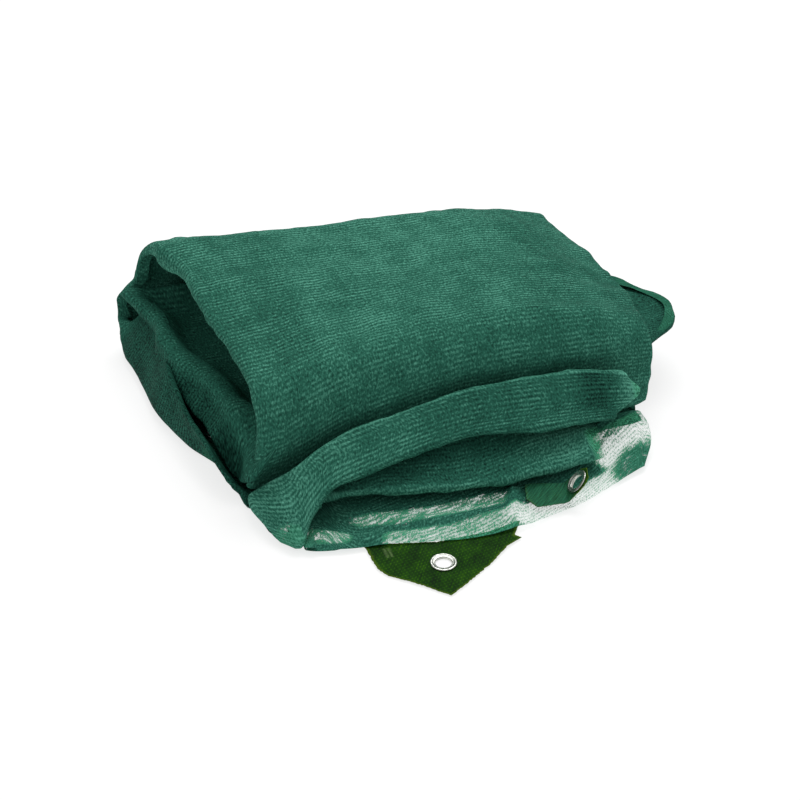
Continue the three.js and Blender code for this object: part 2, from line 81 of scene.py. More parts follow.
# Stretches between the folds. left and right are the outlines in X at even steps along the stretch. A turn
# is how far a side edge turns in towards the wrap's middle, or away from it where it is negative. left_lean
# is how far the rim of the turned left edge leans inwards, or outwards where it is negative.
STRETCHES = [
    dict(name="skirt", rows=30, left=[-128, -127, -126, -125], right=[172, 187, 192, 190], left_turn=[3, 2]),
    dict(name="recess to lip", rows=12, left=[-130, -122, -114], left_turn=[0, 3], right=[148, 136]),
    dict(name="under the band", rows=14, left=[-114, -118, -122], left_turn=[3, 0], right=[135, 144]),
    dict(name="band underside", rows=10, left=[-124, -142], right=[150, 160], left_turn=[0, -4],
         right_turn=[0, -5]),
    dict(name="band", rows=22, left=[-153, -158, -159], right=[160, 174, 183, 184, 176], left_turn=[-6, -6],
         right_turn=[-7, -8]),
    dict(name="band back", rows=10, left=[-158, -158], right=[171, 166], left_turn=[-5, 0],
         right_turn=[-6, 0]),
    dict(name="floor", rows=54, left=[-160, -166, -173, -189, -200, -208, -211, -214, -219],
         left_turn=[2, 27, 33, 36, 41, 50, 57, 60, 58], left_lean=[0, -11, -10, 0, 8, 14, 24, 30, 30],
         right=[200, 209, 214, 216, 212, 202], right_turn=[0, 4, 5, 5, 5, 4]),
    dict(name="back wall", rows=18, left=[-219, -217, -200, -196], left_turn=[5, 6], right=[190, 186],
         right_turn=[4, 5]),
    dict(name="top", rows=58, left=[-182, -167, -163, -158, -150, -147], left_turn=[16, 12, 11, 11, 11, 11],
         right=[196, 206, 213, 216, 215, 211], right_turn=[5, 6, 6, 6, 6, 6]),
    dict(name="front face", rows=18, left=[-148, -150, -156], left_turn=[11, 9], right=[211, 210],
         right_turn=[6, 5]),
    dict(name="layer 1", rows=22, left=[-140, -146, -158, -176, -194], left_turn=[5, 5],
         right=[203, 212, 216, 212, 202], right_turn=[4, 5, 5, 3]),
    dict(name="layer 2", rows=22, left=[-194, -174, -156, -144, -138], left_turn=[4, 0],
         right=[202, 212, 218, 212, 206], right_turn=[3, 5, 5, 4, 0]),
    dict(name="layer 3", rows=22, left=[-137, -144, -154, -170, -190], left_turn=[0, 5, 4],
         right=[206, 212, 220, 214, 203], right_turn=[0, 4, 5, 5, 3]),
    dict(name="layer 4", rows=22, left=[-190, -168, -154, -146, -140], left_turn=[4, 0],
         right=[202, 212, 220, 214, 208], right_turn=[3, 5, 5, 4, 0]),
    dict(name="layer 5", rows=40, left=[-136, -146, -152, -158, -166, -190], left_turn=[0, 4, 5, 4],
         right=[208, 216, 226, 216, 203], right_turn=[0, 4, 5, 5, 3]),
    dict(name="layer 6", rows=44, left=[-213, -203, -195, -196, -189, -175, -164, -160, -154, -158],
         left_turn=[8, 12, 14, 18, 24, 29, 30, 29, 26, 12], left_lean=[0, 0, 0, -2, -5, -10, -14, -14, -8, 0],
         right=[203, 214, 230, 234, 228, 208], right_turn=[3, 5, 5, 4, 0]),
    dict(name="layer 7", rows=40, left=[-130, -126, -124, -132, -150], left_turn=[0, 5, 4],
         right=[207, 252, 268, 247, 223, 209, 201], right_turn=[0, 4, 4, 4, 3, 3, 3]),
    dict(name="layer 8", rows=22, left=[-150, -136, -126, -124, -130], left_turn=[4, 0],
         right=[201, 212, 220, 216, 208], right_turn=[3, 5, 5, 4, 0]),
    dict(name="layer 9", rows=22, left=[-128, -122, -122, -128, -150], left_turn=[0, 5, 4],
         right=[207, 212, 216, 210, 200], right_turn=[0, 4, 5, 5, 3]),
    dict(name="layer 10", rows=22, left=[-148, -136, -128, -128, -132], left_turn=[4, 3],
         right=[192, 200, 204, 204, 200], right_turn=[3, 4]),
]
LEFT_COLUMNS = 22                        # columns of the left edge's turn
RIGHT_COLUMNS = 14
CROSS_COLUMNS = 66


def smooth(knots, values, t):
    """Cubic through the knots, held level past the ends. Its slope at each is that between its neighbours."""
    knots, values = np.asarray(knots, float), np.asarray(values, float)
    numbers = np.arange(len(knots))
    before, after = np.maximum(numbers - 1, 0), np.minimum(numbers + 1, len(knots) - 1)
    slopes = (values[after] - values[before]) / (knots[after] - knots[before])
    i = np.clip(np.searchsorted(knots, t, side="right") - 1, 0, len(knots) - 2)
    width, rise = knots[i + 1] - knots[i], values[i + 1] - values[i]
    u = np.clip((t - knots[i]) / width, 0, 1)
    bend_in, bend_out = slopes[i] * width - rise, slopes[i + 1] * width - rise
    return values[i] + rise * u + u * (1 - u) * (bend_in * (1 - u) - bend_out * u)


def at_station(values, x):
    return smooth(STATIONS, values, x)


def along(values, u):
    return smooth(np.linspace(0, 1, len(values)), values, u)


def ease(low, high, value):
    """0 below low, 1 above high, and 3 t^2 - 2 t^3 between."""
    t = np.clip((value - low) / (high - low), 0, 1)
    return t * t * (3 - 2 * t)


def layer_pitch(levels, x):
    return (at_station(levels, x) - SHEET / 2) / (INNER_LAYERS + 1)


def wrap_corner(k, x):
    """Middle and radius of the wrap's corners, in order: back foot, back crest, front crest and face foot."""
    levels = BACK_LEVEL if k < 2 else FRONT_LEVEL
    level = at_station(levels, x)
    r = layer_pitch(levels, x) / 2 if k == 3 else CORNER * level / TOP
    y = [BACK - r, BACK - r, at_station(FACE_Y, x) + r, at_station(FACE_FOOT_Y, x) + r][k]
    z = [SHEET / 2 + r, level - r, level - r, SHEET / 2 + 3 * r][k]
    return y, z, r


def inner_fold(k, x):
    """Middle and radius of the fold that joins layers k and k + 1, inside the wrap's corners by its gap."""
    levels = BACK_LEVEL if k % 2 else FRONT_LEVEL
    r = layer_pitch(levels, x) / 2
    z = SHEET / 2 + (2 * k + 1) * r
    (_, foot_z, _), (crest_y, crest_z, crest_r) = wrap_corner(0, x), wrap_corner(1, x)
    inside = crest_r - r - SHEET - INNER_GAPS[k - 1]
    if k % 2:
        beyond = np.maximum(np.maximum(z - crest_z, foot_z - z), 0)
        return crest_y + np.sqrt(np.maximum(inside ** 2 - beyond ** 2, 0)), z, r
    front_y, front_z, front_r = wrap_corner(2, x)
    foot_y = at_station(FACE_FOOT_Y, x)
    lean = (front_y - front_r - foot_y) * np.minimum(z / front_z, 1)
    room = np.sqrt(np.maximum(inside ** 2 - np.maximum(z - front_z, 0) ** 2, 0))
    return foot_y + lean + front_r - room, z, r


def front_fold(fold, x):
    return at_station(fold["y"], x), at_station(fold["z"], x), fold["radius"] + 0 * x


def strip_end(x):
    level = SHEET / 2 + INNER_LAYERS * layer_pitch(FRONT_LEVEL, x)
    return wrap_corner(2, x)[0] - END_SETBACK, level, 0 * x


# Every fold in the strip's order: its turn, its rows and its place.
FOLDS = [(fold["turn"], fold["rows"], lambda x, fold=fold: front_fold(fold, x)) for fold in FRONT_FOLDS]
FOLDS += [(1, rows, lambda x, k=k: wrap_corner(k, x)) for k, rows in enumerate(WRAP_ROWS)]
FOLDS += [(1 if k % 2 else -1, INNER_ROWS, lambda x, k=k: inner_fold(k, x)) for k in range(1, INNER_LAYERS)]
FOLDS += [(1, 0, strip_end)]


def heading(i, x):
    """Angle from +Y towards +Z of the straight run that touches folds i and i + 1, like a belt on pulleys."""
    (turn_a, _, place_a), (turn_b, _, place_b) = FOLDS[i], FOLDS[i + 1]
    (ya, za, ra), (yb, zb, rb) = place_a(x), place_b(x)
    side = (turn_b * rb - turn_a * ra) / np.hypot(yb - ya, zb - za)
    return np.arctan2(zb - za, yb - ya) - np.arcsin(np.clip(side, -1, 1))


def on_fold(i, x, angle):
    """Point of fold i's circle where the strip has that heading."""
    y, z, r = FOLDS[i][2](x)
    return y + FOLDS[i][0] * r * np.sin(angle), z - FOLDS[i][0] * r * np.cos(angle)


def turn_rows(i, x, u):
    """Point and heading at share u of the arc round fold i. A sweep past the largest is a small one back."""
    start = heading(i - 1, x)
    sweep = ((heading(i, x) - start) * FOLDS[i][0]) % math.tau
    angle = start + FOLDS[i][0] * np.where(sweep > LARGEST_SWEEP, sweep - math.tau, sweep) * u
    return *on_fold(i, x, angle), angle


def stretch_rows(i, x, u):
    """Point and heading at share u of the straight run from fold i to fold i + 1."""
    angle = heading(i, x)
    (ya, za), (yb, zb) = on_fold(i, x, angle), on_fold(i + 1, x, angle)
    return ya + (yb - ya) * u, za + (zb - za) * u, angle


OUTLINE = ["left", "right", "left_turn", "right_turn", "left_lean"]


def outline(stretch, u):
    return np.stack([along(stretch.get(key, [0, 0]), u) for key in OUTLINE])


BEND, RIM_CURL = 8.0, 2.2                # radii of an upright edge's foot and of its rim
TUCK = (8.0, 5.0)                        # how far the rim runs back: under a fold, and inside an upright rim
FLAT_EDGE = 12.0                         # width of the same columns where the edge isn't turned
LEAST_TURN, FOLD_TURN = 0.4, 2.5         # an edge is flat below the first, and a fold from the second on
UPRIGHT_TURN = (8, 16)                   # between these a fold becomes an upright edge
ANGLE_COST = 5.0                         # length in mm that counts like one radian, for where the columns go


def turned_edge(turn, lean, count):
    """Columns of a side edge, from the level part out to the rim: how far in from the outline, and the lift.

    The edge bends up a quarter turn, runs straight, and curls back on itself. Where it is low it is a plain
    fold of half its height in radius. The columns are even in length plus ANGLE_COST times the angle turned.
    """
    size = np.maximum(np.abs(turn), LEAST_TURN)[:, None]
    upright = ease(*UPRIGHT_TURN, size)
    bend, curl = size / 2 + (BEND - size / 2) * upright, size / 2 + (RIM_CURL - size / 2) * upright
    sweep = math.pi / 2 * (1 + upright)
    straight, tuck = np.maximum(size - bend - curl, 0), TUCK[0] + (TUCK[1] - TUCK[0]) * upright
    costs = [(bend + ANGLE_COST) * math.pi / 2, straight + 1e-6, (curl + ANGLE_COST) * sweep, tuck]
    spent = np.linspace(0, 1, count) * sum(costs)
    share = []
    for cost in costs:
        share.append(np.clip(spent / cost, 0, 1))
        spent = spent - cost
    out = bend * np.sin(share[0] * math.pi / 2) - curl * (1 - np.cos(share[2] * sweep))
    lift = bend * (1 - np.cos(share[0] * math.pi / 2)) + share[1] * straight + curl * np.sin(share[2] * sweep)
    out, lift = out - share[3] * tuck * np.sin(sweep), lift + share[3] * tuck * np.cos(sweep)
    flat = 1 - ease(LEAST_TURN, FOLD_TURN, size)
    out, lift = out + (np.linspace(0, 1, count) * FLAT_EDGE - out) * flat, lift * (1 - flat)
    rise = np.clip((lift - bend) / np.maximum(straight, 1), 0, 1) * upright
    width = bend + (FLAT_EDGE - bend) * flat
    return width - out + lean[:, None] * rise * (0.6 + 0.4 * rise), np.sign(turn)[:, None] * lift


# All rows of the strip. path is a row's place along it: from 2 i to 2 i + 1 on stretch i, and from there to
# 2 i + 2 on the fold after it.
x_rows, y_rows, z_rows, angles, lifts, path = [], [], [], [], [], []
for i, stretch in enumerate(STRETCHES):
    parts = []
    if i > 0:
        count = FOLDS[i][1]
        u = np.arange(1, count) / count
        before, after = outline(STRETCHES[i - 1], np.array([1.0])), outline(stretch, np.array([0.0]))
        parts.append((turn_rows, u, before + (after - before) * ease(0, 1, u), 2 * i - 1 + u))
    u = np.linspace(0, 1, stretch["rows"])
    parts.append((stretch_rows, u, outline(stretch, u), 2 * i + u))
    for shape, u, (left, right, left_turn, right_turn, lean), where in parts:
        left_in, left_lift = turned_edge(left_turn, lean, LEFT_COLUMNS)
        right_in, right_lift = turned_edge(right_turn, 0 * lean, RIGHT_COLUMNS)
        x_left, x_right = left[:, None] + left_in[:, ::-1], right[:, None] - right_in
        shares = np.linspace(0, 1, CROSS_COLUMNS + 2)[1:-1]
        x_cross = x_left[:, -1:] + (x_right[:, :1] - x_left[:, -1:]) * shares
        x = np.hstack([x_left, x_cross, x_right])
        y, z, angle = shape(i, x, u[:, None])
        x_rows.append(x)
        y_rows.append(y)
        z_rows.append(z)
        angles.append(angle)
        lifts.append(np.hstack([left_lift[:, ::-1], 0 * x_cross, right_lift]))
        path.append(where)
x, y, z, angle, lift = (np.vstack(parts) for parts in (x_rows, y_rows, z_rows, angles, lifts))
path = np.concatenate(path)[:, None]
NUMBER = {stretch["name"]: 2 * i for i, stretch in enumerate(STRETCHES)}


def between(first, last, fade=0.2):
    """1 on the rows from place first to place last of the path, fading out over fade on either side."""
    return ease(first - fade, first, path) * (1 - ease(last, last + fade, path))


def on(name, first=0.0, last=1.0, fade=0.2):
    return between(NUMBER[name] + first, NUMBER[name] + last, fade)


# The side edges are lifted along the strip's own normal, and straight up where the floor layer's left edge
# stands up as an apron.
apron = on("floor", 0, 1, 0.9)
lift_y, lift_z = -np.sin(angle) * (1 - apron), np.cos(angle) * (1 - apron) + apron
points = np.stack([x, y + lift * lift_y, z + lift * lift_z], axis=-1)


def normals(points):
    """Unit normals of the grid, towards the inside of the wrap."""
    cross = np.cross(np.gradient(points, axis=1), np.gradient(points, axis=0))
    return cross / np.maximum(np.linalg.norm(cross, axis=-1, keepdims=True), 1e-9)


def lengths(points, axis):
    """Length along the grid's rows or columns up to each point."""
    step = np.linalg.norm(np.diff(points, axis=axis), axis=-1)
    start = np.zeros_like(step[:1] if axis == 0 else step[:, :1])
    return np.concatenate([start, np.cumsum(step, axis)], axis)


# Places on the cloth in millimetres, across from its middle column and along from the skirt. The ribs run
# straight across the bundle where the cloth shows most: on the band, the top and the sixth layer.
middle = LEFT_COLUMNS + CROSS_COLUMNS // 2
cloth_x = lengths(points, 1)
cloth_x = cloth_x - cloth_x[:, middle:middle + 1]
cloth_y = lengths(points, 0)
anchors = [int(np.argmin(np.abs(path[:, 0] - NUMBER[name] - 0.5))) for name in ("band", "top", "layer 6")]
drift = cloth_y[anchors] - cloth_y[anchors][:, middle:middle + 1]
row_numbers = np.arange(len(path))
weights = np.stack([np.interp(row_numbers, anchors, np.eye(len(anchors))[k]) for k in range(len(anchors))], 1)
cloth_y = cloth_y - weights @ drift


def waves(seed, count, shortest, longest):
    """Sum of sine waves of random lengths and directions over the cloth, of mean square 1."""
    rng = np.random.default_rng(seed)
    total = np.zeros_like(cloth_x)
    for _ in range(count):
        wavelength = rng.uniform(shortest, longest)
        turn, phase = rng.uniform(0, math.pi), rng.uniform(0, math.tau)
        run = cloth_x * math.cos(turn) + cloth_y * math.sin(turn)
        total += np.sin(math.tau * run / wavelength + phase)
    return total * math.sqrt(2 / count)


def reach(points, line):
    """Distance of every point from a line through the given corners."""
    line = np.asarray(line, float)
    nearest = np.full(points.shape[:2], np.inf)
    for a, b in zip(line[:-1], line[1:]):
        t = np.clip((points - a) @ (b - a) / np.dot(b - a, b - a), 0, 1)
        nearest = np.minimum(nearest, np.linalg.norm(points - a - t[..., None] * (b - a), axis=-1))
    return nearest


# The inner layers sag between the sixth layer's rolled left end and the top's edge, and the front corner
# there hangs down.
SAG = 0.34                               # share of the height that is lost in the middle of the sag
CORNER_DROP = 28.0
sixth_left = STRETCHES[NUMBER["layer 6"] // 2]["left"][::-1]
sixth_y = np.round(np.linspace(20, 270, len(sixth_left)))    # the sixth layer's run between its folds
inwards = x - smooth(sixth_y, sixth_left, y)
sag = ease(9, 30, inwards) * (1 - ease(48, 90, inwards)) * ease(40, 75, y) * (1 - ease(240, 275, y))
points[..., 2] *= 1 - SAG * sag * between(NUMBER["layer 1"], NUMBER["layer 6"] + 1)
corner = (1 - ease(24, 54, y)) * (1 - ease(-170, -122, x))
points[..., 2] -= CORNER_DROP * corner * between(NUMBER["layer 6"] + 0.5, NUMBER["layer 7"] + 0.1)

# Unevenness of a bundle folded by hand: a slow rise and fall that all layers share, and soft waves of the
# cloth, which are smaller where layers lie close on each other.
SLOW_RISE, LONG_WAVES, SHORT_WAVES = 2.2, 0.75, 0.22
height_share = np.maximum(z - SHEET / 2, 0) / TOP
points[..., 2] += SLOW_RISE * height_share * np.sin(x / 47 + 0.6) * np.sin(y / 58 + 1.1)
loose = 1 - 0.75 * on("floor", 0, 1, 0.3) - 0.6 * on("skirt", 0, 1, 0.3)
loose -= 0.6 * between(NUMBER["layer 1"], NUMBER["layer 5"] + 1)
loose -= 0.5 * between(NUMBER["layer 8"], path.max())
swell = loose * (LONG_WAVES * waves(11, 14, 34, 95) + SHORT_WAVES * waves(12, 18, 13, 26))

# Creases and folds that the bundle shows: line, half width, height out of the wrap, and where they are.
CREASES = [
    # across the top's left back corner
    ([(-158, 256, 112), (-146, 215, 111), (-140, 170, 110), (-137, 130, 110)], 3.4, 2.6,
     on("top", -0.4, 0.7)),
    # pucker of the skirt beside the side patch, and two ripples along it
    ([(53, -56, 6), (50, -66, 5), (41, -92, 4)], 5.5, -7.0, on("skirt")),
    ([(-80, -46, 6), (-20, -72, 5), (36, -78, 4)], 6.0, -3.0, on("skirt")),
    ([(-120, -52, 6), (-90, -76, 5), (-40, -84, 4)], 5.0, -2.5, on("skirt")),
]
for line, width, height, where in CREASES:
    swell -= height * np.exp(-(reach(points, line) / width) ** 2) * where
points += normals(points) * swell[..., None]
FLOOR_GAP, SKIRT_GAP = 0.8, 3.0          # least height of the strip, and of the skirt, which is on the patch
points[..., 2] = np.maximum(points[..., 2], np.where(path < 1.2, SKIRT_GAP, FLOOR_GAP))


SPOT_FADE = 0.35                         # share of its radius over which a spot fades, in and out of its rim


def spot(x0, y0, rx, ry, turn):
    """1 inside an ellipse on the floor plan, fading out at its rim."""
    c, s = math.cos(math.radians(turn)), math.sin(math.radians(turn))
    dx, dy = points[..., 0] - x0, points[..., 1] - y0
    radius = np.hypot((dx * c + dy * s) / rx, (dy * c - dx * s) / ry)
    return 1 - ease(1 - SPOT_FADE, 1 + SPOT_FADE, radius)


def beside(line, half_width):
    """1 near a line on the floor plan, fading out round its half width."""
    return 1 - ease(half_width * 0.6, half_width * 1.3, reach(points[..., :2], line))


# How many plies lie on each other: the whole strip is opaque, and its loose rims and the skirt are sheer.
# Each zone brings the number towards its own by equal ratios.
along_x, along_y = points[..., 0], points[..., 1]
skirt = on("skirt", 0, 1, 0.3) * np.maximum(1 - ease(-56, -46, along_y), ease(110, 134, along_x))
SHEER = [
    (9.0, skirt),
    # pale streaks of the skirt, and the loose corner at its right end
    (2.6, skirt * beside([(-76, -54), (-21, -63), (38, -60)], 10)),
    (2.2, skirt * beside([(-56, -86), (-12, -92), (40, -88)], 12)),
    (2.6, skirt * beside([(-127, -58), (-112, -66), (-94, -72)], 8)),
    (0.9, skirt * beside([(52, -86), (90, -86), (150, -62)], 14)),
    (2.4, skirt * beside([(152, -18), (188, -6)], 14)),
    (0.9, skirt * beside([(146, -40), (182, -22)], 14)),
    (4.5, skirt * spot(168, -50, 30, 17, 35)),
    (4.2, (on("skirt", 0, 1, 0.3) + on("band", -0.6, 0.5)) * spot(-136, -66, 22, 9, -30)),
    # the lip's right end frays out, and the band's right tip is a loose rim
    (0.8, on("recess to lip", 0.3, 2.6) * ease(118, 138, along_x)),
    (3.0, on("band", -0.4, 1.2) * ease(166, 182, along_x)),
    # loose rims, where only a few plies lie on each other
    (4.6, on("layer 7", -0.8, 1.1) * np.clip(np.abs(lift) / 3, 0, 1) * ease(222, 236, along_x)),
    (5.0, on("floor", 0, 1, 0.6) * spot(-172, 78, 9, 34, -14) * (np.abs(lift) < 20)),
    (5.0, on("top", -0.6, 0.7) * np.clip(np.abs(lift) / 5, 0, 1) * ease(180, 200, along_x)),
]
plies = np.full(points.shape[:2], 16.0)
for count, where in SHEER:
    plies *= (count / plies) ** where

# Painted light and shade: lighter and darker zones of the cloth, the amount, of which the material adds half
# to the cloth's tone, and where.
PAINTED_LIGHT_ZONES = [
    # painted shade on the apron, the rolled left end and the layers in its shade
    (-0.50, on("floor", 0, 1, 0.6) * (along_x < -120)),
    (-0.18, on("layer 6", -0.6, 1.2, 0.4)),
    (-0.20, between(NUMBER["layer 1"], NUMBER["layer 6"] - 0.6)),
    (-0.34, on("layer 6", 0, 1.2) * ease(5, 16, np.abs(lift)) * (along_x < 0)),
    # painted shade on the loose corner of layer 7 at the right
    (-0.30, on("layer 7", -0.5, 1) * ease(205, 225, along_x)),
    # painted shade in the recess and under the band, and painted light on the lip's crest and on the right of
    # what lies under the band
    (-0.16, on("recess to lip", -0.6, 0.9)),
    (0.20, on("recess to lip", 0.7, 1.8)),
    (-0.22, on("under the band", 0.1, 1)),
    (0.45, on("under the band", 0.1, 1) * ease(40, 100, along_x)),
    # the band: painted shade towards the right, most where its dark inside shows, and painted light on the
    # crest and both ends
    (-0.14, on("band", -0.2, 1.2) * ease(-60, 20, along_x)),
    (-0.46, on("band", 0.4, 1.0, 0.3) * np.exp(-((along_x - 140) / 15) ** 2)),
    (0.60, on("band", -0.5, 1.4) * ease(158, 176, along_x)),
    (0.20, on("band", 1.2, 1.7, 0.25)),
    (0.16, on("band", -0.5, 1) * (1 - ease(-125, -95, along_x))),
    # the top: painted light on its rolled left edge and the back, and painted shade towards its ends
    (0.20, on("top", -0.3, 1.8) * np.clip(np.abs(lift) / 11, 0, 1) * (x < 0)),
    (-0.14, on("top") * (1 - ease(-110, -40, along_x))),
    (-0.12, on("top") * ease(90, 150, along_x)),
    (0.10, on("top", -0.2, 0.3, 0.4) * (1 - ease(60, 130, along_x))),
]
lit = sum(amount * where for amount, where in PAINTED_LIGHT_ZONES)
ribbed = 0.35 * on("band", -0.3, 1.3) + 0.55 * on("top", -0.2, 0.9, 0.3) + 0 * along_x


def metres(points):
    """From millimetres in the bundle's frame to metres in the part's."""
    return (points - CENTRE) / 1000


def grid_mesh(name, points, uv=None, wrap_columns=False, wrap_rows=False, **values):
    """Object from a rows by columns grid of points: a quad per cell, a UV map in metres, and named values."""
    rows, columns = points.shape[:2]
    number = np.arange(rows * columns).reshape(rows, columns)
    if wrap_columns:
        number = np.hstack([number, number[:, :1]])
    if wrap_rows:
        number = np.vstack([number, number[:1]])
    corners = np.stack([number[:-1, :-1], number[1:, :-1], number[1:, 1:], number[:-1, 1:]], -1)
    corners = corners.reshape(-1, 4)
    mesh = bpy.data.meshes.new(name)
    mesh.vertices.add(rows * columns)
    mesh.vertices.foreach_set("co", points.reshape(-1).astype(np.float32))
    mesh.loops.add(corners.size)
    mesh.loops.foreach_set("vertex_index", corners.reshape(-1).astype(np.int32))
    mesh.polygons.add(len(corners))
    mesh.polygons.foreach_set("loop_start", np.arange(0, corners.size, 4, dtype=np.int32))
    mesh.polygons.foreach_set("use_smooth", np.ones(len(corners), bool))
    mesh.update(calc_edges=True)
    if uv is not None:
        layer = mesh.uv_layers.new(name="UVMap")
        layer.uv.foreach_set("vector", uv.reshape(-1, 2)[corners.reshape(-1)].reshape(-1).astype(np.float32))
    for key, value in values.items():
        attribute = mesh.attributes.new(key, "FLOAT", "POINT")
        attribute.data.foreach_set("value", value.reshape(-1).astype(np.float32))
    piece = bpy.data.objects.new(name, mesh)
    bpy.context.collection.objects.link(piece)
    return piece


# the mesh carries the zones' painted light and shade as its value lit
net = grid_mesh("harvest_net", metres(points), np.stack([cloth_x, cloth_y], -1) / 1000,
                plies=plies, lit=lit, ribbed=ribbed)


def colour(code):
    """Linear colour from an sRGB hex code."""
    parts = np.array([int(code[i:i + 2], 16) for i in (1, 3, 5)]) / 255.0
    linear = np.where(parts <= 0.04045, parts / 12.92, ((parts + 0.055) / 1.055) ** 2.4)
    return (*linear.tolist(), 1.0)


def add(kind, inputs=None, **settings):
    """Adds a node to the current tree, and returns its first output.

    Each input is a value or another node's output.
    """
    node = tree.nodes.new("ShaderNode" + kind)
    for key, value in settings.items():
        setattr(node, key, value)
    for key, value in (inputs or {}).items():
        if isinstance(value, bpy.types.NodeSocket):
            tree.links.new(value, node.inputs[key])
        else:
            node.inputs[key].default_value = value
    return node.outputs[0] if node.outputs else None


def calc(operation, *values):
    return add("Math", dict(enumerate(values)), operation=operation)


def scaled(value, factor, added=0.0):
    """value times factor plus added."""
    return calc("MULTIPLY_ADD", value, factor, added)


def wave(phase):
    """Cosine brought to 0 to 1."""
    return scaled(calc("COSINE", phase), 0.5, 0.5)


def spread(value, low, high, to_low=0.0, to_high=1.0):
    """The range low to high brought to to_low to to_high, and held there past its ends."""
    return add("MapRange", {0: value, 1: low, 2: high, 3: to_low, 4: to_high})


def speckle(scale, detail, low, high, stretch=(1, 1, 1), place=None):
    """Noise on the cloth, its middle range spread over 0 to 1."""
    vector = add("Mapping", {"Vector": place or cloth, "Scale": stretch})
    noise = add("TexNoise", {"Vector": vector, "Scale": scale, "Detail": detail, "Roughness": 0.6})
    return spread(noise, low, high)


def named_value(name):
    """Value that the piece's mesh holds under that name."""
    return add("Attribute", attribute_name=name).node.outputs["Fac"]


def ramp(tone, first, last, middle=None):
    """Colour at a tone, through stops that are each a place and a hex code."""
    shade = add("ValToRGB", {"Fac": tone})
    stops = shade.node.color_ramp.elements
    for stop, (place, code) in zip(stops, (first, last)):
        stop.position, stop.color = place, colour(code)
    if middle:
        stops.new(middle[0]).color = colour(middle[1])
    return shade


def mixed(factor, a, b):
    """Colour a where factor is 0, and b where it is 1."""
    return add("Mix", {0: factor, "A": a, "B": b}, data_type="RGBA").node.outputs["Result"]


def new_material(name):
    material = bpy.data.materials.new(name)
    material.use_nodes = True
    material.node_tree.nodes.clear()
    return material, material.node_tree


def finish_shader(**inputs):
    """Principled shader as the current material's surface. Names are the sockets', with _ for a blank."""
    shader = add("BsdfPrincipled", {key.replace("_", " "): value for key, value in inputs.items()})
    add("OutputMaterial", {"Surface": shader})


# Raschel-knitted polyethylene monofilament: chains of loops 4 mm apart, and fine filaments laid to and fro
# between them. Many plies together look like a dull cloth with fine, uneven ribs, and one ply is see-through.
knit_material, tree = new_material("knitted_polyethylene_net")
RIB, LOOP = 0.0040, 0.0024               # spacing of the chains, and of the loops in a chain
PULL = 0.0011                            # how far the cloth's pattern is pulled out of line

cloth = add("UVMap", uv_map="UVMap")
pull = add("TexNoise", {"Vector": cloth, "Scale": 42.0, "Detail": 3.0}).node.outputs["Color"]
pull = add("VectorMath", {0: pull, 1: (-0.5, -0.5, -0.5)}, operation="ADD")
pull = add("VectorMath", {0: pull, "Scale": PULL}, operation="SCALE")
across = add("SeparateXYZ", {0: add("VectorMath", {0: cloth, 1: pull}, operation="ADD")})
along_strip = across.node.outputs[1]
rib_phase = scaled(along_strip, math.tau / RIB)
rib = wave(rib_phase)
loop = wave(scaled(across, math.tau / LOOP, scaled(calc("SINE", rib_phase), 1.4)))
grain = speckle(430.0, 3.0, 0.30, 0.70)
fleck = speckle(620.0, 1.0, 0.35, 0.65, (1.0, 0.55, 1.0))
cloud = speckle(15.0, 3.0, 0.30, 0.70)
streak = speckle(1.0, 2.0, 0.32, 0.68, (52.0, 7.0, 1.0))
rib_strength = calc("ADD", speckle(38.0, 2.0, 0.36, 0.62, (1.0, 1.6, 1.0)), named_value("ribbed"))
ribs = calc("MULTIPLY", rib, scaled(rib_strength, 0.62, 0.10))

# The colour: what each pattern adds to the tone, and a painted greener glow where a few plies let light
# through.
tone = scaled(ribs, 0.30, -0.04)
# the value lit is the zones' painted light and shade
for pattern, weight in [(loop, 0.08), (grain, 0.36), (fleck, 0.26), (cloud, 0.07), (streak, 0.10),
                        (named_value("lit"), 0.5)]:
    tone = scaled(pattern, weight, tone)
count = named_value("plies")
# painted light: where few plies lie, the tone is lighter and tinted greener, for the light that comes through
# them
tone = calc("ADD", tone, spread(count, 0.0, 6.0, 0.20, 0.0))
shade = ramp(tone, (0.0, "#08261f"), (1.0, "#64ac95"), middle=(0.5, "#2b6554"))
shade = mixed(spread(count, 0.6, 5.5, 0.80, 0.0), shade, colour("#42a273"))

# The openings between the filaments: they show where few plies lie on each other, more in some patches than
# in others. Even there some haze of filaments stays.
thread = calc("POWER", rib, 2.0)
pinhole = speckle(1150.0, 1.0, 0.33, 0.67, (1.0, 1.5, 1.0))
cover = scaled(pinhole, 0.32)
for pattern, weight in [(fleck, 0.22), (grain, 0.22), (loop, 0.08), (thread, 0.16)]:
    cover = scaled(pattern, weight, cover)
patchy = spread(speckle(75.0, 3.0, 0.30, 0.70, (1.0, 2.2, 1.0)), 0.0, 1.0, 0.55, 1.7)
local_plies = calc("MULTIPLY", count, patchy)
above = calc("SUBTRACT", cover, spread(local_plies, 0.4, 6.5, 0.68, -0.20))
haze = spread(local_plies, 0.8, 4.0, 0.08, 0.66)
alpha = calc("MAXIMUM", spread(above, -0.20, 0.20), haze)
relief = scaled(grain, 0.5, scaled(loop, 0.35, ribs))
bump = add("Bump", {"Strength": 0.6, "Distance": 0.0006, "Height": relief})
finish_shader(Base_Color=shade, Roughness=0.74, Alpha=alpha, Normal=bump, Specular_IOR_Level=0.03)

net.data.materials.append(knit_material)
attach(net, "root")
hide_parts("net")

